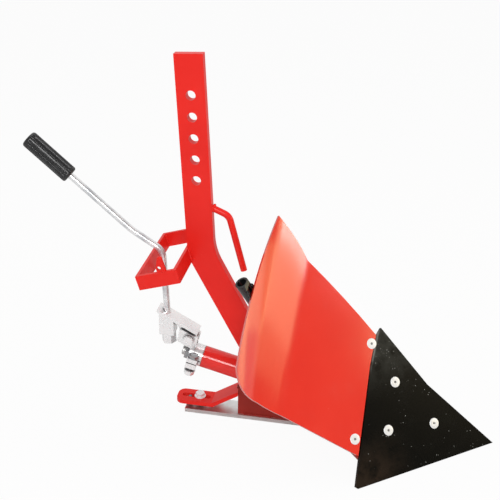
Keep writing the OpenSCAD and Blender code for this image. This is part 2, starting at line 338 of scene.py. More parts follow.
@dataclass(frozen=True)
class ScouredBlack:
    """The share's black paint: fine scratches, dust specks, greyer clouds towards the top and some earth.

    Places on it are in metres from the share's point, along the cutting edge and up the face.
    """

    name: str
    colour: Triple = (0.003, 0.003, 0.0025)
    top_grey: Triple = (0.05, 0.05, 0.042)
    scratch: Triple = (0.34, 0.34, 0.32)
    earth: Triple = (0.03, 0.019, 0.012)
    gloss: float = 0.12
    roughness: float = 0.2
    hairs: Patches = Patches(1.0, 0.69, 0.74, 3.0)
    hair_stretch: Triple = (14.0, 900.0, 14.0)
    hair_runs: tuple[tuple[float, Patches], ...] = (
        (0.35, Patches(21.45, 0.56, 0.8, 3.0)),
        (1.15, Patches(27.05, 0.58, 0.8, 3.0)),
        (-0.6, Patches(14.8, 0.58, 0.8, 3.0)),
    )
    dot_scale: float = 170.0
    dot_edge: Point = (0.2, 0.06)
    dot_crowd_scale: float = 48.0
    dot_crowd: Point = (0.56, 0.63)
    dot_rise: Point = (0.12, 0.22)
    fleck_scale: float = 420.0
    fleck_edge: Point = (0.22, 0.1)
    fleck_crowd: Patches = Patches(33.0, 0.52, 0.6, 3.0)
    cloud_scale: float = 26.0
    crest_rise: Point = (0.13, 0.25)
    rear_edge: Triple = (0.877, 0.479, 0.2862)
    rim_width: Point = (0.0045, 0.001)
    rim_rise: Point = (0.185, 0.21)
    soil_along: Point = (-0.17, -0.26)
    soil_up: Point = (0.1, 0.01)
    grain_scale: float = 900.0
    grain_depth: float = 0.0006

    def _on_face(self, g: Graph) -> Sock:
        """Coordinates on the working face.

        Args:
            g: the graph they go into.

        Returns:
            Along the cutting edge, up the face and out of it, from the share's point.
        """
        tip = LAYOUT.at(LAYOUT.tip_x, 0.0, 0.0)
        from_tip = g.make("ShaderNodeVectorMath", {"operation": "SUBTRACT"}, {0: g.coords(), 1: tip})
        level = g.turned(from_tip, (0.0, 0.0, -LAYOUT.edge_angle), (1.0, 1.0, 1.0))
        return g.turned(level, (-LAYOUT.face_lift, 0.0, 0.0), (1.0, 1.0, 1.0))

    def _scratches(self, g: Graph, flat: Sock) -> Sock:
        """Hair-thin marks in a few directions, each gathered in patches.

        Args:
            g: the graph they go into.
            flat: coordinates on the working face.

        Returns:
            Their mask.
        """
        runs = []
        for angle, gathered in self.hair_runs:
            spun = g.turned(flat, (0.0, 0.0, angle), self.hair_stretch)
            runs.append(self.hairs.mask(g, spun) * gathered.mask(g, flat))
        marks = runs[0]
        for run in runs[1:]:
            marks = marks.math("MAXIMUM", run)
        return marks

    def build(self) -> bpy.types.Material:
        """Makes the material."""
        g = Graph.material(self.name)
        flat = self._on_face(g)
        along, up = g.part(flat, "X"), g.part(flat, "Y")
        marks = self._scratches(g, flat)
        crowd = g.noise(flat, self.dot_crowd_scale, 4.0) + up.step(*self.dot_rise) * 0.07
        dots = g.cells(flat, self.dot_scale).step(*self.dot_edge) * crowd.step(*self.dot_crowd)
        flecks = g.cells(flat, self.fleck_scale).step(*self.fleck_edge) * self.fleck_crowd.mask(g, flat)
        cloud = g.noise(flat, self.cloud_scale, 5.0, 0.62)
        thin = cloud.step(0.3, 0.6)
        crest = up.step(*self.crest_rise) * cloud.step(0.28, 0.66)
        a, b, c = self.rear_edge
        rim = (along * a - up * b + c).step(*self.rim_width) * up.step(*self.rim_rise)
        soil = along.step(*self.soil_along) * up.step(*self.soil_up) * thin
        # Greyer in clouds towards the top of the face.
        tone = g.mix(crest * 0.8 + cloud.step(0.5, 0.8) * 0.03, rgba(self.colour), rgba(self.top_grey))
        tone = g.mix(soil * 0.7, tone, rgba(self.earth))
        tone = g.mix(marks * 0.3 + rim * thin * 0.45, tone, rgba(self.scratch))
        tone = g.mix(dots * 0.75 + flecks * crest * 0.6, tone, rgba(self.scratch))
        grain = g.noise(flat, self.grain_scale)
        return g.surface({
            "Base Color": tone, "Specular IOR Level": self.gloss,
            "Normal": g.bump(grain * 0.4 - marks * 0.8, 0.12, self.grain_depth),
            "Roughness": cloud * 0.12 + marks * 0.1 + crest * 0.12 + self.roughness,
        })


@dataclass(frozen=True)
class Plated:
    """Bare or plated metal with soft blotches, drawn lines in one direction and painted shade in its
    corners.
    """

    name: str
    colour: Triple
    dull: Triple
    roughness: float
    blotch: float = 0.35
    metal: float = 1.0
    corner_shade: float = 0.0
    stretch: Triple = (90.0, 90.0, 90.0)
    cloud: Patches = Patches(38.0, 0.35, 0.75, 4.0, 0.6)
    flecks: Patches = Patches(260.0, 0.6, 0.75)
    corner_shade_tone: Triple = (0.03, 0.03, 0.035)
    corner_reach: float = 0.009
    corner_range: Point = (0.8, 0.4)
    line_depth: float = 0.0004

    def build(self) -> bpy.types.Material:
        """Makes the material."""
        g = Graph.material(self.name)
        where = g.coords()
        drawn = g.noise(g.turned(where, (0.0, 0.0, 0.0), self.stretch), 1.0, 3.0)
        cloud, flecks = self.cloud.mask(g, where), self.flecks.mask(g, where)
        tone = g.mix(cloud * self.blotch + flecks * 0.15, rgba(self.colour), rgba(self.dull))
        # Painted shade: an ambient-occlusion mask darkens the colour towards a near-black tone in corners
        # and crevices.
        if self.corner_shade > 0:
            reach = {"Distance": self.corner_reach}
            corner = g.make("ShaderNodeAmbientOcclusion", {"samples": 8}, reach, "AO")
            tone = g.mix(corner.step(*self.corner_range) * self.corner_shade, tone, rgba(self.corner_shade_tone))
        return g.surface({
            "Base Color": tone, "Metallic": self.metal,
            "Normal": g.bump(drawn * 0.6 + flecks * 0.2, 0.08, self.line_depth),
            "Roughness": cloud * 0.14 + drawn * 0.1 + self.roughness,
        })


@dataclass(frozen=True)
class MouldedPlastic:
    """Black moulded plastic with a fine spark-eroded grain."""

    name: str
    colour: Triple = (0.012, 0.012, 0.013)
    worn: Triple = (0.03, 0.03, 0.031)
    roughness: float = 0.24
    cloud: Patches = Patches(60.0, 0.4, 0.75, 3.0)
    grain_scale: float = 600.0
    grain_depth: float = 0.0003

    def build(self) -> bpy.types.Material:
        """Makes the material."""
        g = Graph.material(self.name)
        where = g.coords()
        grain = g.noise(where, self.grain_scale)
        cloud = self.cloud.mask(g, where)
        return g.surface({
            "Base Color": g.mix(cloud, rgba(self.colour), rgba(self.worn)),
            "Roughness": cloud * 0.12 + grain * 0.1 + self.roughness,
            "Normal": g.bump(grain, 0.06, self.grain_depth),
        })


class Finishes:
    """Every finish on the plough, built once."""

    def __init__(self) -> None:
        """Builds the materials."""
        red = Enamel("red_enamel", (0.86, 0.023, 0.016), (0.81, 0.019, 0.013), (0.86, 0.12, 0.09))
        self.red = red.build()
        self.tube = replace(red, name="tube_enamel", roughness=0.22, gloss=0.4, coat=0.3).build()
        self.board = Enamel("board_enamel", (0.82, 0.034, 0.016), (0.78, 0.028, 0.013),
                            (0.88, 0.13, 0.08), 0.16, gloss=0.4, coat=1.0, coat_ior=1.6).build()
        # A darker copy of the red enamel: painted shade on the frog's plate, rib and welds, which sit
        # under the mouldboard.
        self.painted_shade_red = Enamel("frog_painted_shade_enamel", (0.4, 0.03, 0.02), (0.28, 0.022, 0.015),
                                (0.4, 0.12, 0.08), 0.4).build()
        self.black = Enamel("black_enamel", (0.01, 0.01, 0.011), (0.006, 0.006, 0.007),
                            (0.1, 0.1, 0.1), 0.16, gloss=0.3, coat=0.4).build()
        self.share = ScouredBlack("share_black_paint").build()
        # The zinc plate carries painted shade in its corners.
        self.zinc = Plated("zinc_plate", (0.97, 0.975, 0.98), (0.82, 0.83, 0.85), 0.16,
                           metal=0.5, corner_shade=0.85).build()
        self.dull = Plated("dull_zinc", (0.4, 0.41, 0.42), (0.2, 0.2, 0.21), 0.26, 0.6, metal=0.8).build()
        self.bright = Plated("bright_zinc", (0.95, 0.95, 0.95), (0.84, 0.84, 0.85), 0.3,
                             metal=0.35).build()
        self.rod = Plated("zinc_rod", (0.93, 0.94, 0.95), (0.42, 0.44, 0.48), 0.2, 0.75, metal=0.65,
                          stretch=(30.0, 160.0, 30.0)).build()
        self.steel = Plated("rolled_steel", (0.80, 0.80, 0.79), (0.55, 0.54, 0.52), 0.3, 0.5,
                            stretch=(9.0, 420.0, 420.0)).build()
        self.thread = Plated("dark_thread", (0.3, 0.3, 0.31), (0.1, 0.1, 0.1), 0.34, 0.6,
                             stretch=(300.0, 300.0, 300.0)).build()
        self.grip = MouldedPlastic("grip_black").build()


def aim(origin: Vector, axis: Vector, spin: float = 0.0) -> Matrix:
    """A frame at a place whose Z points along an axis, in metres."""
    turn = axis.normalized().to_track_quat("Z", "Y").to_matrix().to_4x4()
    return Matrix.Translation(origin) @ turn @ Matrix.Rotation(spin, 4, "Z")


def raised(place: Matrix, height: float) -> Matrix:
    """A frame moved along its own Z, in millimetres."""
    return place @ Matrix.Translation((0.0, 0.0, height * MM))


def polar(radius: float, angle: float, height: float = 0.0) -> Vector:
    """A point round the Z axis, from millimetres to metres."""
    return Vector((radius * math.cos(angle), radius * math.sin(angle), height)) * MM


def angles(count: int) -> list[float]:
    """Evenly spaced angles of one full turn."""
    return [2 * math.pi * i / count for i in range(count)]


def spaced(points: Sequence[Vector], step: float) -> list[Vector]:
    """Points at an even step along a broken line.

    Args:
        points: the line's corners, in metres.
        step: the distance between points, in millimetres.

    Returns:
        The points, the corners among them.
    """
    out: list[Vector] = []
    for a, b in zip(points, points[1:], strict=False):
        count = max(1, round((b - a).length / (step * MM)))
        out.extend(a.lerp(b, i / count) for i in range(count))
    out.append(points[-1])
    return out


def filleted(corners: Sequence[Vector], radii: Sequence[float], steps: int = 14) -> list[Vector]:
    """A broken line with its inner corners rounded.

    Args:
        corners: the line's corners, in metres.
        radii: the radius at each inner corner, in millimetres.
        steps: how many pieces each round has.

    Returns:
        The line's points.
    """
    out = [corners[0]]
    for before, here, after, radius in zip(corners, corners[1:], corners[2:], radii, strict=False):
        r = radius * MM
        a, b = (before - here).normalized(), (after - here).normalized()
        half = a.angle(b) / 2
        centre = here + (a + b).normalized() * (r / math.sin(half))
        start = (here + a * (r / math.tan(half)) - centre).normalized()
        end = (here + b * (r / math.tan(half)) - centre).normalized()
        out.extend(centre + start.slerp(end, i / steps).normalized() * r for i in range(steps + 1))
    return [*out, corners[-1]]


def washer_profile(bore: float, outer: float, thick: float, lead: float = 0.4) -> list[Point]:
    """The section of a washer with broken outer edges.

    Args:
        bore: the hole's radius, in millimetres.
        outer: the outer radius.
        thick: the thickness.
        lead: the width of the broken edges.

    Returns:
        A closed loop of (radius, height).
    """
    return [(bore, 0.0), (outer - lead, 0.0), (outer, lead), (outer, thick - lead),
            (outer - lead, thick), (bore, thick)]


def thread_profile(radius: float, length: float, pitch: float) -> list[Point]:
    """The outline of a threaded end, from its root to its chamfered tip.

    Args:
        radius: the thread's outer radius, in millimetres.
        length: its length.
        pitch: the distance between crests.

    Returns:
        Points of (radius, height).
    """
    out: list[Point] = [(radius * 0.98, 0.0)]
    root = radius - 0.55 * pitch
    for i in range(int((length - 1.0) / pitch)):
        z = i * pitch
        out.extend([(root, z + 0.25 * pitch), (radius, z + 0.7 * pitch), (radius, z + 0.8 * pitch)])
    out.extend([(root, length - 0.6), (root - 0.8, length)])
    return out


class Shape:
    """A mesh that grows from rings of points."""

    def __init__(self) -> None:
        """Starts empty."""
        self.verts: list[Vector] = []
        self.faces: list[list[int]] = []

    def rings(self, rings: Sequence[Sequence[Vector]], loop: bool = False, caps: bool = True) -> "Shape":
        """Skins closed rings of equal count.

        Args:
            rings: the rings in order.
            loop: whether the last ring joins the first.
            caps: whether the two ends are closed.

        Returns:
            This shape.
        """
        base, n = len(self.verts), len(rings[0])
        for ring in rings:
            self.verts.extend(ring)
        count = len(rings) if loop else len(rings) - 1
        for i in range(count):
            a, b = base + i * n, base + ((i + 1) % len(rings)) * n
            self.faces.extend([a + j, a + (j + 1) % n, b + (j + 1) % n, b + j] for j in range(n))
        if caps and not loop:
            last = base + (len(rings) - 1) * n
            self.faces.append([base + j for j in reversed(range(n))])
            self.faces.append([last + j for j in range(n)])
        return self

    def lathe(self, profile: Sequence[Point], place: Matrix, segments: int = 48,
              swell: Callable[[float, float], float] | None = None, closed: bool = False) -> "Shape":
        """Turns a profile of (radius, height) in millimetres about its own Z axis.

        Args:
            profile: the profile, bottom to top.
            place: where the axis goes.
            segments: points round it.
            swell: a factor on the radius by angle and height.
            closed: whether the profile is a closed loop, such as a washer's section.

        Returns:
            This shape.
        """
        rings = [[place @ polar(r * (swell(a, z) if swell else 1.0), a, z) for a in angles(segments)]
                 for r, z in profile]
        return self.rings(rings, loop=closed, caps=not closed)

    def sweep(self, path: Sequence[Vector], radii: Sequence[float], segments: int = 12,
              loop: bool = False) -> "Shape":
        """Runs a round section along a path in metres.

        Args:
            path: the path's points.
            radii: the radius at each point, in millimetres.
            segments: points round the section.
            loop: whether the path closes on itself.

        Returns:
            This shape.
        """
        rings = []
        side: Vector | None = None
        n = len(path)
        for i, p in enumerate(path):
            ahead = path[(i + 1) % n] if loop or i < n - 1 else p
            behind = path[i - 1] if loop or i > 0 else p
            tangent = (ahead - behind).normalized()
            if side is None:
                side = tangent.orthogonal().normalized()
            side = (side - tangent * side.dot(tangent)).normalized()
            up = tangent.cross(side)
            r = radii[i] * MM
            rings.append([p + (side * math.cos(a) + up * math.sin(a)) * r for a in angles(segments)])
        return self.rings(rings, loop=loop)

    def hexagon(self, across: float, height: float, place: Matrix, bore: float = 0.0) -> "Shape":
        """A hexagon nut or bolt head with turned corners.

        Args:
            across: its size across the flats, in millimetres.
            height: its height.
            place: where its base is.
            bore: the hole's radius, or 0 for a head.

        Returns:
            This shape.
        """
        flat, sixth = across / 2, math.pi / 3
        face = flat * 0.97
        lead = 0.6
        slope = math.tan(math.radians(30.0))
        sections = []
        for a in angles(72):
            edge = flat / math.cos((a + sixth / 2) % sixth - sixth / 2)
            drop = (edge - face) * slope
            section = [(face, 0.0), (edge, drop), (edge, height - drop), (face, height)]
            if bore:
                section = [(bore, lead), (bore + lead, 0.0), *section,
                           (bore + lead, height), (bore, height - lead)]
            sections.append([place @ polar(r, a, z) for r, z in section])
        rings = list(zip(*sections, strict=True))
        return self.rings(rings, loop=bool(bore), caps=not bore)

    def piece(self, name: str, body: Body, slot: Slot, material: bpy.types.Material,
              sharp: float = 32.0) -> bpy.types.Object:
        """Makes the object and lets it ride on its body.

        Args:
            name: the piece's name.
            body: the body it moves with.
            slot: the record's slot that the piece is listed with; not used.
            material: its finish.
            sharp: edges over this angle stay crisp, in degrees.

        Returns:
            The object.
        """
        mesh = bpy.data.meshes.new(name)
        mesh.from_pydata([tuple(v) for v in self.verts], [], self.faces)
        bm = bmesh.new()
        bm.from_mesh(mesh)
        bmesh.ops.remove_doubles(bm, verts=bm.verts, dist=1e-6)
        bmesh.ops.recalc_face_normals(bm, faces=bm.faces)
        bm.to_mesh(mesh)
        bm.free()
        mesh.polygons.foreach_set("use_smooth", [True] * len(mesh.polygons))
        mesh.set_sharp_from_angle(angle=math.radians(sharp))
        mesh.materials.append(material)
        obj = bpy.data.objects.new(name, mesh)
        bpy.context.scene.collection.objects.link(obj)
        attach(obj, body.value)
        LOG.info("%s: %d faces on %s", name, len(mesh.polygons), body.value)
        return obj


@dataclass
class WeldBead:
    """A run of weld under paint, with the ripples of the pool and tapered ends.

    Attributes:
        radius: the bead's radius, in millimetres.
        ripple: the distance between ripples.
        seed: the seed of its unevenness.
        step: the distance between its rings.
        shake: how far a ring is off the path.
        mean: the share of the radius that is even.
        ripple_share: the share that comes and goes with the ripples.
        drift_share: the share of the slower unevenness.
        drift_lengths: how slow that unevenness is.
        taper: the share at a free end, and what each ring from there adds.
        shape: the mesh that its runs go into.
    """

    radius: float = 3.0
    ripple: float = 2.4
    seed: int = 1
    step: float = 0.7
    shake: float = 0.12
    mean: float = 0.88
    ripple_share: float = 0.14
    drift_share: float = 0.05
    drift_lengths: Point = (5.1, 2.9)
    taper: Point = (0.35, 0.25)
    shape: Shape = field(default_factory=Shape)

    def run(self, points: Sequence[Vector], loop: bool = False) -> "WeldBead":
        """Lays one bead.

        Args:
            points: the corners of its path, in metres.
            loop: whether it closes on itself.

        Returns:
            This bead, so that several runs make one piece.
        """
        rng = random.Random(self.seed * 97 + len(self.shape.verts))
        path = spaced([*points, points[0]] if loop else points, self.step)
        if loop:
            path = path[:-1]
        n = len(path)
        phase = [rng.uniform(0, 6.28) for _ in range(3)]
        radii = []
        for i in range(n):
            s = i * self.step
            wave = abs(math.sin(math.pi * s / self.ripple))
            drift = sum(math.sin(s / d + p) for d, p in zip(self.drift_lengths, phase, strict=False))
            end = 1.0 if loop else min(1.0, self.taper[0] + self.taper[1] * min(i, n - 1 - i))
            even = self.mean + self.ripple_share * wave + self.drift_share * drift
            radii.append(self.radius * end * even)
        off = self.shake * MM
        shaken = [p + Vector((rng.uniform(-1, 1), rng.uniform(-1, 1), rng.uniform(-1, 1))) * off
                  for p in path]
        self.shape.sweep(shaken, radii, 10, loop)
        return self

    def piece(self, name: str, body: Body, material: bpy.types.Material, slot: Slot = Slot.RED) -> None:
        """Ends the bead as a painted piece."""
        self.shape.piece(name, body, slot, material, 60.0)


@dataclass
class CadDress:
    """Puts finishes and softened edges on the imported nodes."""

    nodes: dict[str, bpy.types.Object]
    flat_limit: float = math.radians(0.6)
    sharp_limit: float = math.radians(38.0)
    rounds: int = 3

    def wear(self, name: str, material: bpy.types.Material, edge: float) -> None:
        """Gives a node its finish and breaks its sharp edges.

        Args:
            name: the node.
            material: its finish.
            edge: the width of the broken edge, in millimetres.
        """
        node = self.nodes[name]
        node.data.materials.clear()
        node.data.materials.append(material)
        flat = node.modifiers.new("flat_faces", "DECIMATE")
        flat.decimate_type = "DISSOLVE"
        flat.angle_limit = self.flat_limit
        soft = node.modifiers.new("broken_edges", "BEVEL")
        soft.width = edge * MM
        soft.segments = self.rounds
        soft.limit_method = "ANGLE"
        soft.angle_limit = self.sharp_limit
        soft.harden_normals = True
        LOG.info("%s dressed in %s", name, material.name)


@dataclass
class Assembly:
    """What every sub-assembly has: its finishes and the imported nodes. Sizes are in millimetres."""

    finishes: Finishes
    solids: CadDress


@dataclass
class Standard(Assembly):
    """The drilled standard with its pivot tube and hook rod."""

    tube_r: float = 21.0
    foot: Point = (87.0, 156.0)
    half_t: float = 7.9
    foot_weld: float = 3.2
    hook_root: Point = (40.6, 430.4)
    hook_aim: Point = (33.0, -14.0)
    rod_r: float = 6.2
    rod_weld: float = 2.3

    def dress(self) -> None:
        """Paints the solids."""
        self.solids.wear("standard", self.finishes.red, 0.9)
        self.solids.wear("hook_rod", self.finishes.red, 0.5)
        self.solids.wear("pivot_tube", self.finishes.tube, 0.7)

    def build(self) -> None:
        """Welds the standard to its tube and the hook to the standard."""
        h = math.sqrt(self.tube_r**2 - self.half_t**2)
        a, b = self.foot
        corners = [LAYOUT.tube(a, h, self.half_t), LAYOUT.tube(b, h, self.half_t),
                   LAYOUT.tube(b, self.tube_r, 0.0), LAYOUT.tube(b, h, -self.half_t),
                   LAYOUT.tube(a, h, -self.half_t), LAYOUT.tube(a, self.tube_r, 0.0)]
        foot = WeldBead(self.foot_weld, seed=3).run(corners, loop=True)
        foot.piece("weld_foot", Body.HITCH, self.finishes.red)
        axis = Vector((self.hook_aim[0], 0.0, self.hook_aim[1]))
        place = aim(LAYOUT.at(self.hook_root[0], 0.0, self.hook_root[1]), axis)
        ring = [place @ polar(self.rod_r, a) for a in angles(20)]
        hook = WeldBead(self.rod_weld, seed=5).run(ring, loop=True)
        hook.piece("weld_hook", Body.HITCH, self.finishes.red)


@dataclass
class Gate(Assembly):
    """The lever's gate behind the standard."""

    length: float = 77.5
    bar_t: float = 6.0
    half_w: float = 93.0
    bar_h: float = 27.0
    corner_weld: float = 2.3
    corner_inset: float = 0.8
    back_weld: float = 2.8
    back_inset: float = 1.0
    back_x: float = 0.4
    standard_sides: Point = (-8.0, 8.0)
    lug_weld: float = 1.5
    lug_sides: Point = (-92.5, -87.5)
    lug_span: Point = (-33.5, -20.5)
    lug_foot: float = 0.2

    def dress(self) -> None:
        """Paints the bars."""
        for name in ("gate_front", "gate_rear", "gate_near", "gate_far", "notch_plate"):
            self.solids.wear(name, self.finishes.red, 0.6)

    def _upright(self, bead: WeldBead, x: float, y: float, inset: float) -> None:
        """Runs a bead up the height of the bars."""
        bead.run([LAYOUT.gate(x, y, inset - self.bar_h), LAYOUT.gate(x, y, -inset)])

    def build(self) -> None:
        """Welds the bars' corners, the gate to the standard and the lug to its bar."""
        corner = WeldBead(self.corner_weld, seed=11)
        inner = self.half_w - self.bar_t
        for x in (-self.length + self.bar_t, -self.bar_t):
            for y in (-inner, inner):
                self._upright(corner, x, y, self.corner_inset)
        corner.piece("weld_gate_corners", Body.HITCH, self.finishes.red)
        back = WeldBead(self.back_weld, seed=12)
        for y in self.standard_sides:
            self._upright(back, self.back_x, y, self.back_inset)
        back.piece("weld_gate_back", Body.HITCH, self.finishes.red)
        lug = WeldBead(self.lug_weld, seed=14)
        for y in self.lug_sides:
            lug.run([LAYOUT.gate(x, y, self.lug_foot) for x in self.lug_span])
        lug.piece("weld_lug", Body.HITCH, self.finishes.red)


@dataclass
class PloughBolt:
    """A flat-headed plough bolt through a plate and the frog, nut behind."""

    head_r: float = 9.6
    proud: float = 1.1
    dimple_r: float = 3.0
    grip: float = 16.0
    washer: Triple = (5.4, 11.0, 2.0)
    nut: float = 17.0
    nut_h: float = 8.4
    nut_bore: float = 5.1
    thread: Triple = (5.0, 14.0, 1.5)

    def add(self, heads: Shape, nuts: Shape, threads_and_dimple_shade: Shape, x: float, y: float, spin: float) -> None:
        """Adds one bolt at a point of the working face.

        Args:
            heads: the shape the head goes into.
            nuts: the shape the washer and nut go into.
            threads_and_dimple_shade: the shape that the thread's end and the dark disc of painted shade
                in the head's dimple go into.
            x: along the cutting edge.
            y: up the face.
            spin: how far the nut is turned.
        """
        out = LAYOUT.face_out()
        front = aim(LAYOUT.face(x, y), out, spin)
        r, top, dimple = self.head_r, self.proud, self.dimple_r
        heads.lathe([(r - 1.4, -3.0), (r, -0.2), (r, top * 0.45), (r - 0.5, top * 0.85), (r - 1.3, top),
                     (dimple, top), (dimple - 0.4, top - 0.7), (0.3, top - 1.2)], front)
        # Painted shade: a dark disc in the thread's finish at the bottom of the head's dimple.
        dot = top - 0.6
        threads_and_dimple_shade.lathe([(dimple - 0.7, dot - 1.1), (dimple - 0.6, dot - 0.25),
                       (dimple - 1.3, dot - 0.05), (0.3, dot)], front, 24)
        back = aim(LAYOUT.face(x, y, -self.grip), -out, spin)
        nuts.lathe(washer_profile(*self.washer), back, closed=True)
        nuts.hexagon(self.nut, self.nut_h, raised(back, self.washer[2]), self.nut_bore)
        threads_and_dimple_shade.lathe(thread_profile(*self.thread), back, 32)


@dataclass
class PloughBottom(Assembly):
    """Share, mouldboard, frog, sole, heel bar and stay."""

    board_bolts: tuple[Point, ...] = ((-205.0, 238.0), (-283.0, 84.0))
    share_bolts: tuple[Point, ...] = ((-176.0, 160.0), (-213.0, 81.0), (-116.0, 68.0))
    bolt_spin: Point = (0.4, 0.7)
    sole_top: float = 8.0
    sole_y: float = 0.5
    heel_studs: Point = (-7.0, 13.0)
    heel_gap: float = 9.0
    heel_t: float = 8.0
    stud_nut: float = 13.0
    stud_nut_h: float = 4.2
    stud_bore: float = 4.1
    stud_lift: float = 4.8
    stud_r: float = 4.0
    stud_pitch: float = 1.25
    stud_short: float = 1.5
    stud_spin: Point = (0.2, 0.4)
    heel_washer: Triple = (4.2, 11.0, 2.2)
    heel_head: Point = (16.0, 6.4)
    head_spin: float = 0.5
    frog_back: float = 16.0
    frog_weld: float = 3.2
    rib_sides: Point = (-17.0, -5.0)
    rib_on_sole: tuple[float, ...] = (104.0, 190.0, 276.0, 362.0)
    sole_run: float = 55.0
    rib_on_plate: tuple[float, ...] = (40.0, 92.0, 140.0)
    plate_run: float = 30.0
    flange_s: float = 203.2
    flange_half: float = 27.0
    heel_on_rib: Point = (92.0, 66.5)
    roll_line: Point = (-289.0, 404.0)
    roll_turn: float = math.radians(-25.0)
    roll_r: float = 200.0
    plate_t: float = 6.0
    stay_r: float = 12.0
    stay_lo: Triple = (241.0, -13.5, 87.0)
    stay_hi: Triple = (114.5, -115.5, 349.5)
    stay_weld: float = 2.8
    stay_shares: tuple[float, ...] = (0.8, 0.84, 0.88, 0.92, 0.96)

    def dress(self) -> None:
        """Finishes the solids."""
        f = self.finishes
        # The frog's plate and rib take the red with painted shade.
        for name, finish, edge in (("mouldboard", f.board, 0.8), ("frog_plate", f.painted_shade_red, 0.8),
                                   ("frog_rib", f.painted_shade_red, 0.8), ("heel_bar", f.red, 0.8),
                                   ("share", f.share, 0.9), ("sole", f.steel, 0.8),
                                   ("stay", f.black, 0.4), ("shaft", f.steel, 0.5)):
            self.solids.wear(name, finish, edge)

    def build(self) -> None:
        """Adds the bolts and welds."""
        self._bolts()
        self._heel()
        self._frog_welds()
        self._stay_weld()

    def _bolts(self) -> None:
        """Plough bolts of the share and the mouldboard."""
        for group, places in (("board", self.board_bolts), ("share", self.share_bolts)):
            heads, nuts, threads_and_dimple_shade = Shape(), Shape(), Shape()
            for i, (x, y) in enumerate(places):
                spin = self.bolt_spin[0] + self.bolt_spin[1] * i
                PloughBolt().add(heads, nuts, threads_and_dimple_shade, x, y, spin)
            heads.piece(f"{group}_bolt_heads", Body.BOTTOM, Slot.ZINC, self.finishes.bright)
            nuts.piece(f"{group}_bolt_nuts", Body.BOTTOM, Slot.ZINC, self.finishes.zinc)
            # The dark pieces hold the threads' ends and the painted shade in the heads' dimples.
            threads_and_dimple_shade.piece(f"{group}_bolt_threads_and_dimple_shade", Body.BOTTOM, Slot.ZINC, self.finishes.thread)

    def _heel(self) -> None:
        """The sole's two studs in the heel bar's slot: the front one carries the washer and head."""
        head, nuts = Shape(), Shape()
        lift = self.heel_gap + self.heel_t
        for i, x in enumerate(self.heel_studs):
            base = LAYOUT.at(x, self.sole_y, self.sole_top)
            spin = self.stud_spin[0] + self.stud_spin[1] * i
            place = Matrix.Translation(base) @ Matrix.Rotation(spin, 4, "Z")
            for height in (0.0, self.stud_lift):
                nuts.hexagon(self.stud_nut, self.stud_nut_h, raised(place, height), self.stud_bore)
            nuts.lathe(thread_profile(self.stud_r, lift - self.stud_short, self.stud_pitch), place, 32)
        top = Matrix.Translation(LAYOUT.at(self.heel_studs[-1], self.sole_y, self.sole_top + lift))
        head.lathe(washer_profile(*self.heel_washer), top, closed=True)
        seat = raised(top, self.heel_washer[2]) @ Matrix.Rotation(self.head_spin, 4, "Z")
        head.hexagon(*self.heel_head, seat)
        head.piece("heel_bolt_head", Body.BOTTOM, Slot.ZINC, self.finishes.bright)
        stack = nuts.piece("heel_nut_stacks", Body.BOTTOM, Slot.ZINC, self.finishes.thread)
        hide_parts("heel_nuts")

    def _rib_on_frog(self, y: float, z: float) -> Vector:
        """Where the rib's side meets the back of the frog's plate.

        Args:
            y: the rib's side.
            z: the height.

        Returns:
            The place, in metres.
        """
        n = LAYOUT.face_out()
        x = LAYOUT.tip_x + (-self.frog_back - n.y * y - n.z * z) / n.x
        return LAYOUT.at(x, y, z)

    def _to_wing(self, place: Vector) -> tuple[Vector, float]:
        """The way from a place behind the rolled wing to the wing's back.

        Args:
            place: the place, in metres.

        Returns:
            The direction, and the distance in millimetres.
        """
        turn = LAYOUT.face_turn()
        local = turn.transposed() @ (place - LAYOUT.face(*self.roll_line)) / MM
        across = Vector((math.cos(self.roll_turn), math.sin(self.roll_turn), 0.0))
        off = across * -local.dot(across) + Vector((0.0, 0.0, self.roll_r - local.z))
        return turn @ off.normalized(), off.length - self.roll_r - self.plate_t

    def _frog_welds(self) -> None:
        """Welds of the rib to the sole, the frog's plate, the shaft's flange and the heel bar."""
        seams = WeldBead(self.frog_weld, seed=21)
        for y in self.rib_sides:
            for x in self.rib_on_sole:
                seams.run([LAYOUT.at(x + s, y, self.sole_top) for s in (0.0, self.sole_run)])
            for z in self.rib_on_plate:
                seams.run([self._rib_on_frog(y, z + s) for s in (0.0, self.plate_run)])
            seams.run([LAYOUT.tube(self.flange_s, h, y) for h in (-self.flange_half, self.flange_half)])
        x, z = self.heel_on_rib
        seams.run([LAYOUT.at(x, y, z) for y in self.rib_sides])
        # The frog's welds take the red with painted shade as well.
        seams.piece("weld_frog", Body.BOTTOM, self.finishes.painted_shade_red)

    def _stay_weld(self) -> None:
        """Welds along both sides of the stay where it lies on the wing's back."""
        stay = WeldBead(self.stay_weld, seed=31)
        lo, hi = LAYOUT.at(*self.stay_lo), LAYOUT.at(*self.stay_hi)
        for side in (-1.0, 1.0):
            path = []
            for share in self.stay_shares:
                axis = lo.lerp(hi, share)
                way, gap = self._to_wing(axis)
                half = math.sqrt(max(1.0, self.stay_r**2 - gap**2))
                path.append(axis + (way * gap + way.cross(hi - lo).normalized() * half * side) * MM)
            stay.run(path)
        stay.piece("weld_stay", Body.BOTTOM, self.finishes.black, Slot.BLACK)


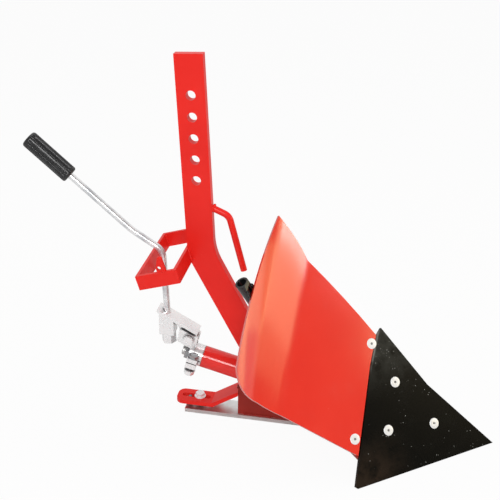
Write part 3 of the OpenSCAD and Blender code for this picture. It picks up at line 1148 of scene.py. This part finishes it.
@dataclass
class Adjuster(Assembly):
    """Crank, nut, pin and small hardware at the shaft's rear end."""

    pin_at: Point = (-34.5, 37.0)
    pin_half: float = 21.0
    ear_side: float = 14.2
    pin_washer: Triple = (6.2, 10.8, 1.8)
    split_in: float = 3.2
    split_r: float = 0.95
    split_path: tuple[Point, ...] = ((0.0, 12.0), (2.2, 14.5), (0.0, 17.2), (-2.2, 14.5), (0.0, 12.0),
                                     (0.0, 0.0), (0.0, -9.0), (3.0, -12.5))
    thread_end: Point = (-41.0, -35.0)
    thread_r: float = 9.25
    thread_pitch: float = 2.0
    thread_sunk: float = 1.0
    thread_proud: float = 0.6
    pinch_at: Point = (-16.0, -28.5)
    pinch_h: Point = (-13.0, 9.0)
    pinch_across: float = 17.0
    pinch_head_h: float = 6.4
    pinch_nut_h: float = 8.0
    pinch_bore: float = 5.1
    pinch_washer: Triple = (5.4, 10.8, 2.4)
    pinch_thread: Triple = (5.0, 18.0, 1.5)
    lug_t: float = 5.0

    def dress(self) -> None:
        """Finishes the solids."""
        self.solids.wear("crank", self.finishes.zinc, 0.6)
        self.solids.wear("hinge_pin", self.finishes.zinc, 0.5)
        self.solids.wear("shaft_nut", self.finishes.dull, 0.8)

    def build(self) -> None:
        """Adds the thread, the pinch bolt, the pin's washers and the split pin."""
        thread = Shape()
        rear, root = self.thread_end
        start = LAYOUT.tube(root + self.thread_sunk, 0.0)
        length = root - rear + self.thread_sunk + self.thread_proud
        profile = thread_profile(self.thread_r, length, self.thread_pitch)
        thread.lathe(profile, aim(start, -LAYOUT.tube_axis()))
        thread.piece("shaft_thread", Body.BOTTOM, Slot.STEEL, self.finishes.thread)
        self._pinch_bolt()
        washers = Shape()
        for side in (-1.0, 1.0):
            place = aim(LAYOUT.tube(*self.pin_at, self.ear_side * side), Vector((0.0, side, 0.0)))
            washers.lathe(washer_profile(*self.pin_washer), place, closed=True)
        washers.piece("pin_washers", Body.BOTTOM, Slot.ZINC, self.finishes.zinc)
        eye = LAYOUT.tube(*self.pin_at, self.pin_half - self.split_in)
        wire = spaced([eye + Vector((x, 0.0, z)) * MM for x, z in self.split_path], 0.6)
        pin = Shape().sweep(wire, [self.split_r] * len(wire), 10)
        pin.piece("pin_split_pin", Body.BOTTOM, Slot.ZINC, self.finishes.zinc)

    def _pinch_bolt(self) -> None:
        """The bolt that draws the split hub together: head on top, washer and nut below."""
        s, y = self.pinch_at
        low, high = self.pinch_h
        up = LAYOUT.tube(0.0, 1.0) - LAYOUT.tube(0.0, 0.0)
        foot = aim(LAYOUT.tube(s, low, y), -up)
        head, nut, shank = Shape(), Shape(), Shape()
        head.hexagon(self.pinch_across, self.pinch_head_h, aim(LAYOUT.tube(s, high, y), up))
        head.piece("hub_pinch_head", Body.BOTTOM, Slot.ZINC, self.finishes.dull)
        nut.lathe(washer_profile(*self.pinch_washer), raised(foot, self.lug_t), closed=True)
        seat = raised(foot, self.lug_t + self.pinch_washer[2])
        nut.hexagon(self.pinch_across, self.pinch_nut_h, seat, self.pinch_bore)
        nut.piece("hub_pinch_nut", Body.BOTTOM, Slot.ZINC, self.finishes.zinc)
        shank.lathe(thread_profile(*self.pinch_thread), foot, 32)
        shank.piece("hub_pinch_thread", Body.BOTTOM, Slot.ZINC, self.finishes.thread)


@dataclass
class Lever(Assembly):
    """The hand lever: a rod with its slight second bend, and the fluted grip."""

    foot: Point = (-46.0, 142.0)
    knee: Point = (-54.5, 337.5)
    bow: Point = (-112.0, 373.5)
    end: Point = (-296.8, 534.9)
    bends: Point = (26.0, 130.0)
    rod_r: float = 6.0
    foot_lead: float = 0.8
    grip_r: float = 15.8
    grip_len: float = 99.0
    end_round: float = 5.0
    end_crown: float = 0.6
    barrel_stop: float = 3.0
    flutes: int = 16
    flute_depth: float = 0.09
    flute_fade: Point = (6.0, 5.0)

    def dress(self) -> None:
        """Finishes the solids."""
        self.solids.wear("lever_foot", self.finishes.zinc, 0.6)

    def build(self) -> None:
        """Makes the rod and the grip."""
        places = [LAYOUT.at(x, 0.0, z) for x, z in (self.foot, self.knee, self.bow, self.end)]
        places[-1] = places[-1] + (places[-2] - places[-1]).normalized() * (self.grip_len / 2 * MM)
        path = spaced(filleted(places, self.bends), 2.0)
        radii = [self.rod_r] * len(path)
        radii[0] = self.rod_r - self.foot_lead
        rod = Shape().sweep(path, radii, 40).piece("bent_rod", Body.LEVER, Slot.ZINC, self.finishes.rod)
        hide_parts("lever_rod")
        self._grip()

    def _grip(self) -> None:
        """The moulded grip: rounded end, fluted barrel and a small chamfer at the rod."""
        r, length = self.grip_r, self.grip_len
        turn, crown = self.end_round, self.end_crown
        first, last = turn + crown, length - self.barrel_stop
        round_steps, barrel_steps = 12, 40
        profile: list[Point] = [(0.4, 0.0), (r - turn - 2.0, crown / 2)]
        for i in range(1, round_steps + 1):
            a = math.pi / 2 * i / round_steps
            profile.append((r - turn + turn * math.sin(a), crown + turn * (1 - math.cos(a))))
        profile.extend((r, first + (last - first) * i / barrel_steps) for i in range(1, barrel_steps + 1))
        profile.extend([(r - 0.7, length - 1.4), (r - 2.6, length), (self.rod_r + 0.6, length),
                        (self.rod_r + 0.1, length - 1.2)])

        def swell(a: float, z: float) -> float:
            """Long flutes that fade out at the barrel's ends.

            Args:
                a: the angle round the grip.
                z: the height from its end.

            Returns:
                The factor on the radius.
            """
            rise = min(1.0, max(0.0, (z - turn) / self.flute_fade[0]))
            fall = min(1.0, max(0.0, (last - 1.0 - z) / self.flute_fade[1]))
            return 1.0 - self.flute_depth * rise * fall * max(0.0, math.cos(self.flutes * a)) ** 0.7

        start = LAYOUT.at(self.end[0], 0.0, self.end[1])
        axis = LAYOUT.at(self.bow[0], 0.0, self.bow[1]) - start
        shape = Shape().lathe(profile, aim(start, axis), 224, swell)
        grip = shape.piece("hand_grip", Body.LEVER, Slot.GRIP, self.finishes.grip, 50.0)
        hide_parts("grip")


@dataclass(frozen=True)
class SoftBox:
    """A lamp panel that looks at the plough and stays out of the picture.

    Attributes:
        name: the lamp's name.
        place: where it stands, in metres.
        size: its width and height.
        power: its power in watts.
        tint: its colour.
        spin: how far the panel is turned about its own axis.
        target: the place it faces.
    """

    name: str
    place: Triple
    size: Point
    power: float
    tint: Triple = (1.0, 1.0, 1.0)
    spin: float = 0.0
    target: Triple = (0.0, 0.0, 0.3)

    def build(self) -> None:
        """Hangs the lamp."""
        data = bpy.data.lights.new(self.name, "AREA")
        data.shape = "RECTANGLE"
        data.size, data.size_y = self.size
        data.energy = self.power
        data.color = self.tint
        obj = bpy.data.objects.new(self.name, data)
        bpy.context.scene.collection.objects.link(obj)
        obj.location = self.place
        look = Vector(self.target) - obj.location
        turn = look.to_track_quat("-Z", "Y").to_matrix() @ Matrix.Rotation(self.spin, 3, "Z")
        obj.rotation_mode = "QUATERNION"
        obj.rotation_quaternion = turn.to_quaternion()
        obj.visible_camera = False


# How far the panels on the right are turned, so that their reflections run across the wing.
PANEL_LEAN = math.radians(-37.0)


@dataclass(frozen=True)
class Studio:
    """Camera, pale floor and soft light.

    Angles are in degrees. The camera's distance and target are in side-view millimetres, and the
    lamps and the floor are in metres. Each dark range is of the direction that a ray looks in.
    """

    azimuth: float = 10.0
    elevation: float = 26.0
    roll: float = 1.0
    distance: float = 1613.3
    target: Triple = (107.5, 0.0, 354.9)
    focal_px: float = 900.0
    image_px: float = 500.0
    sensor: float = 36.0
    ambient: float = 0.53
    room_level: float = 0.8
    room_dark: float = 0.88
    dark_front: Point = (0.3, -0.1)
    dark_height: Point = (0.1, 0.4)
    dark_right: Point = (0.6, 0.9)
    floor_glow: float = 0.94
    floor_tone: Triple = (0.78, 0.78, 0.78)
    floor_half: float = 8.0
    floor_drop: float = 0.0006
    boxes: tuple[SoftBox, ...] = (
        SoftBox("box_front", (0.35, -2.35, 1.75), (0.9, 0.7), 31.5),
        SoftBox("box_top", (-0.4, 0.3, 2.6), (1.6, 1.4), 12.0),
        SoftBox("box_right", (4.0, -0.05, 1.33), (2.68, 0.82), 16.0, (1.0, 0.82, 0.45), PANEL_LEAN),
        SoftBox("box_low", (1.1, 0.41, 0.2), (0.56, 0.28), 0.56, (1.0, 0.8, 0.33), PANEL_LEAN),
        SoftBox("box_dim", (4.0, -0.26, 0.78), (2.6, 0.3), 2.4, (1.0, 0.75, 0.35), PANEL_LEAN),
        SoftBox("box_floor", (0.93, 0.38, 0.004), (0.42, 0.52), 0.85, (1.0, 0.75, 0.3),
                target=(0.93, 0.38, 1.0)),
        SoftBox("strip_edge", (4.0, -0.08, 1.7), (2.6, 0.26), 11.0, spin=PANEL_LEAN),
    )

    def camera(self) -> None:
        """Sets the camera at the photograph's angle."""
        a, e, r = (math.radians(v) for v in (self.azimuth, self.elevation, self.roll))
        back = Vector((math.sin(a) * math.cos(e), -math.cos(a) * math.cos(e), math.sin(e)))
        right = Vector((math.cos(a), math.sin(a), 0.0))
        up = back.cross(right)
        side = right * math.cos(r) + up * math.sin(r)
        top = up * math.cos(r) - right * math.sin(r)
        data = bpy.data.cameras.new("photo_camera")
        data.sensor_width = self.sensor
        data.lens = self.focal_px / self.image_px * self.sensor
        data.clip_start, data.clip_end = 0.01, 50.0
        cam = bpy.data.objects.new("photo_camera", data)
        bpy.context.scene.collection.objects.link(cam)
        place = LAYOUT.at(*self.target) + back * self.distance * MM
        turn = Matrix((side, top, back)).transposed().to_4x4()
        cam.matrix_world = Matrix.Translation(place) @ turn
        bpy.context.scene.camera = cam

    def light(self) -> None:
        """Soft boxes, and a white sweep with a darker room in front and on the right."""
        for box in self.boxes:
            box.build()
        world = bpy.data.worlds.new("white_sweep")
        bpy.context.scene.world = world
        g = Graph(world)
        way = g.make("ShaderNodeTexCoord", out="Generated")
        front = g.part(way, "Y").step(*self.dark_front) * g.part(way, "Z").step(*self.dark_height)
        dark = front.math("MAXIMUM", g.part(way, "X").step(*self.dark_right))
        seen = g.make("ShaderNodeLightPath", out="Is Camera Ray")
        shine = g.make("ShaderNodeLightPath", out="Is Glossy Ray")
        room = (1.0 - dark * self.room_dark) * self.room_level
        level = seen + shine * room + (1.0 - seen - shine) * self.ambient
        back = g.make("ShaderNodeBackground", None, {"Color": (1.0, 1.0, 1.0, 1.0), "Strength": level})
        g.make("ShaderNodeOutputWorld", None, {"Surface": back})

    def floor(self) -> None:
        """Lays a pale floor that keeps a faint shadow."""
        g = Graph.material("pale_floor")
        seen = g.make("ShaderNodeLightPath", out="Is Camera Ray")
        matt = g.make("ShaderNodeBsdfDiffuse", None, {"Color": rgba(self.floor_tone)})
        glow = g.make("ShaderNodeEmission", None, {"Color": (1.0, 1.0, 1.0, 1.0), "Strength": 1.0})
        both = g.make("ShaderNodeMixShader", None, {0: seen * self.floor_glow, 1: matt, 2: glow})
        g.make("ShaderNodeOutputMaterial", None, {"Surface": both})
        half = self.floor_half
        corners = [(-half, -half, 0), (half, -half, 0), (half, half, 0), (-half, half, 0)]
        mesh = bpy.data.meshes.new("pale_floor")
        mesh.from_pydata(corners, [], [(0, 1, 2, 3)])
        mesh.materials.append(g.owner)
        floor = bpy.data.objects.new("pale_floor", mesh)
        floor.location.z = -self.floor_drop
        bpy.context.scene.collection.objects.link(floor)


def main() -> None:
    """Builds and dresses the plough, part by part."""
    logging.basicConfig(level=logging.INFO, format="%(name)s: %(message)s")
    bpy.context.scene.view_settings.view_transform = "Standard"
    studio = Studio()
    studio.camera()
    studio.light()
    studio.floor()
    finishes = Finishes()
    solids = CadDress(frame["nodes"])
    for part in (Standard, Gate, PloughBottom, Adjuster, Lever):
        assembly = part(finishes, solids)
        assembly.dress()
        assembly.build()


if __name__ == "__main__":
    main()
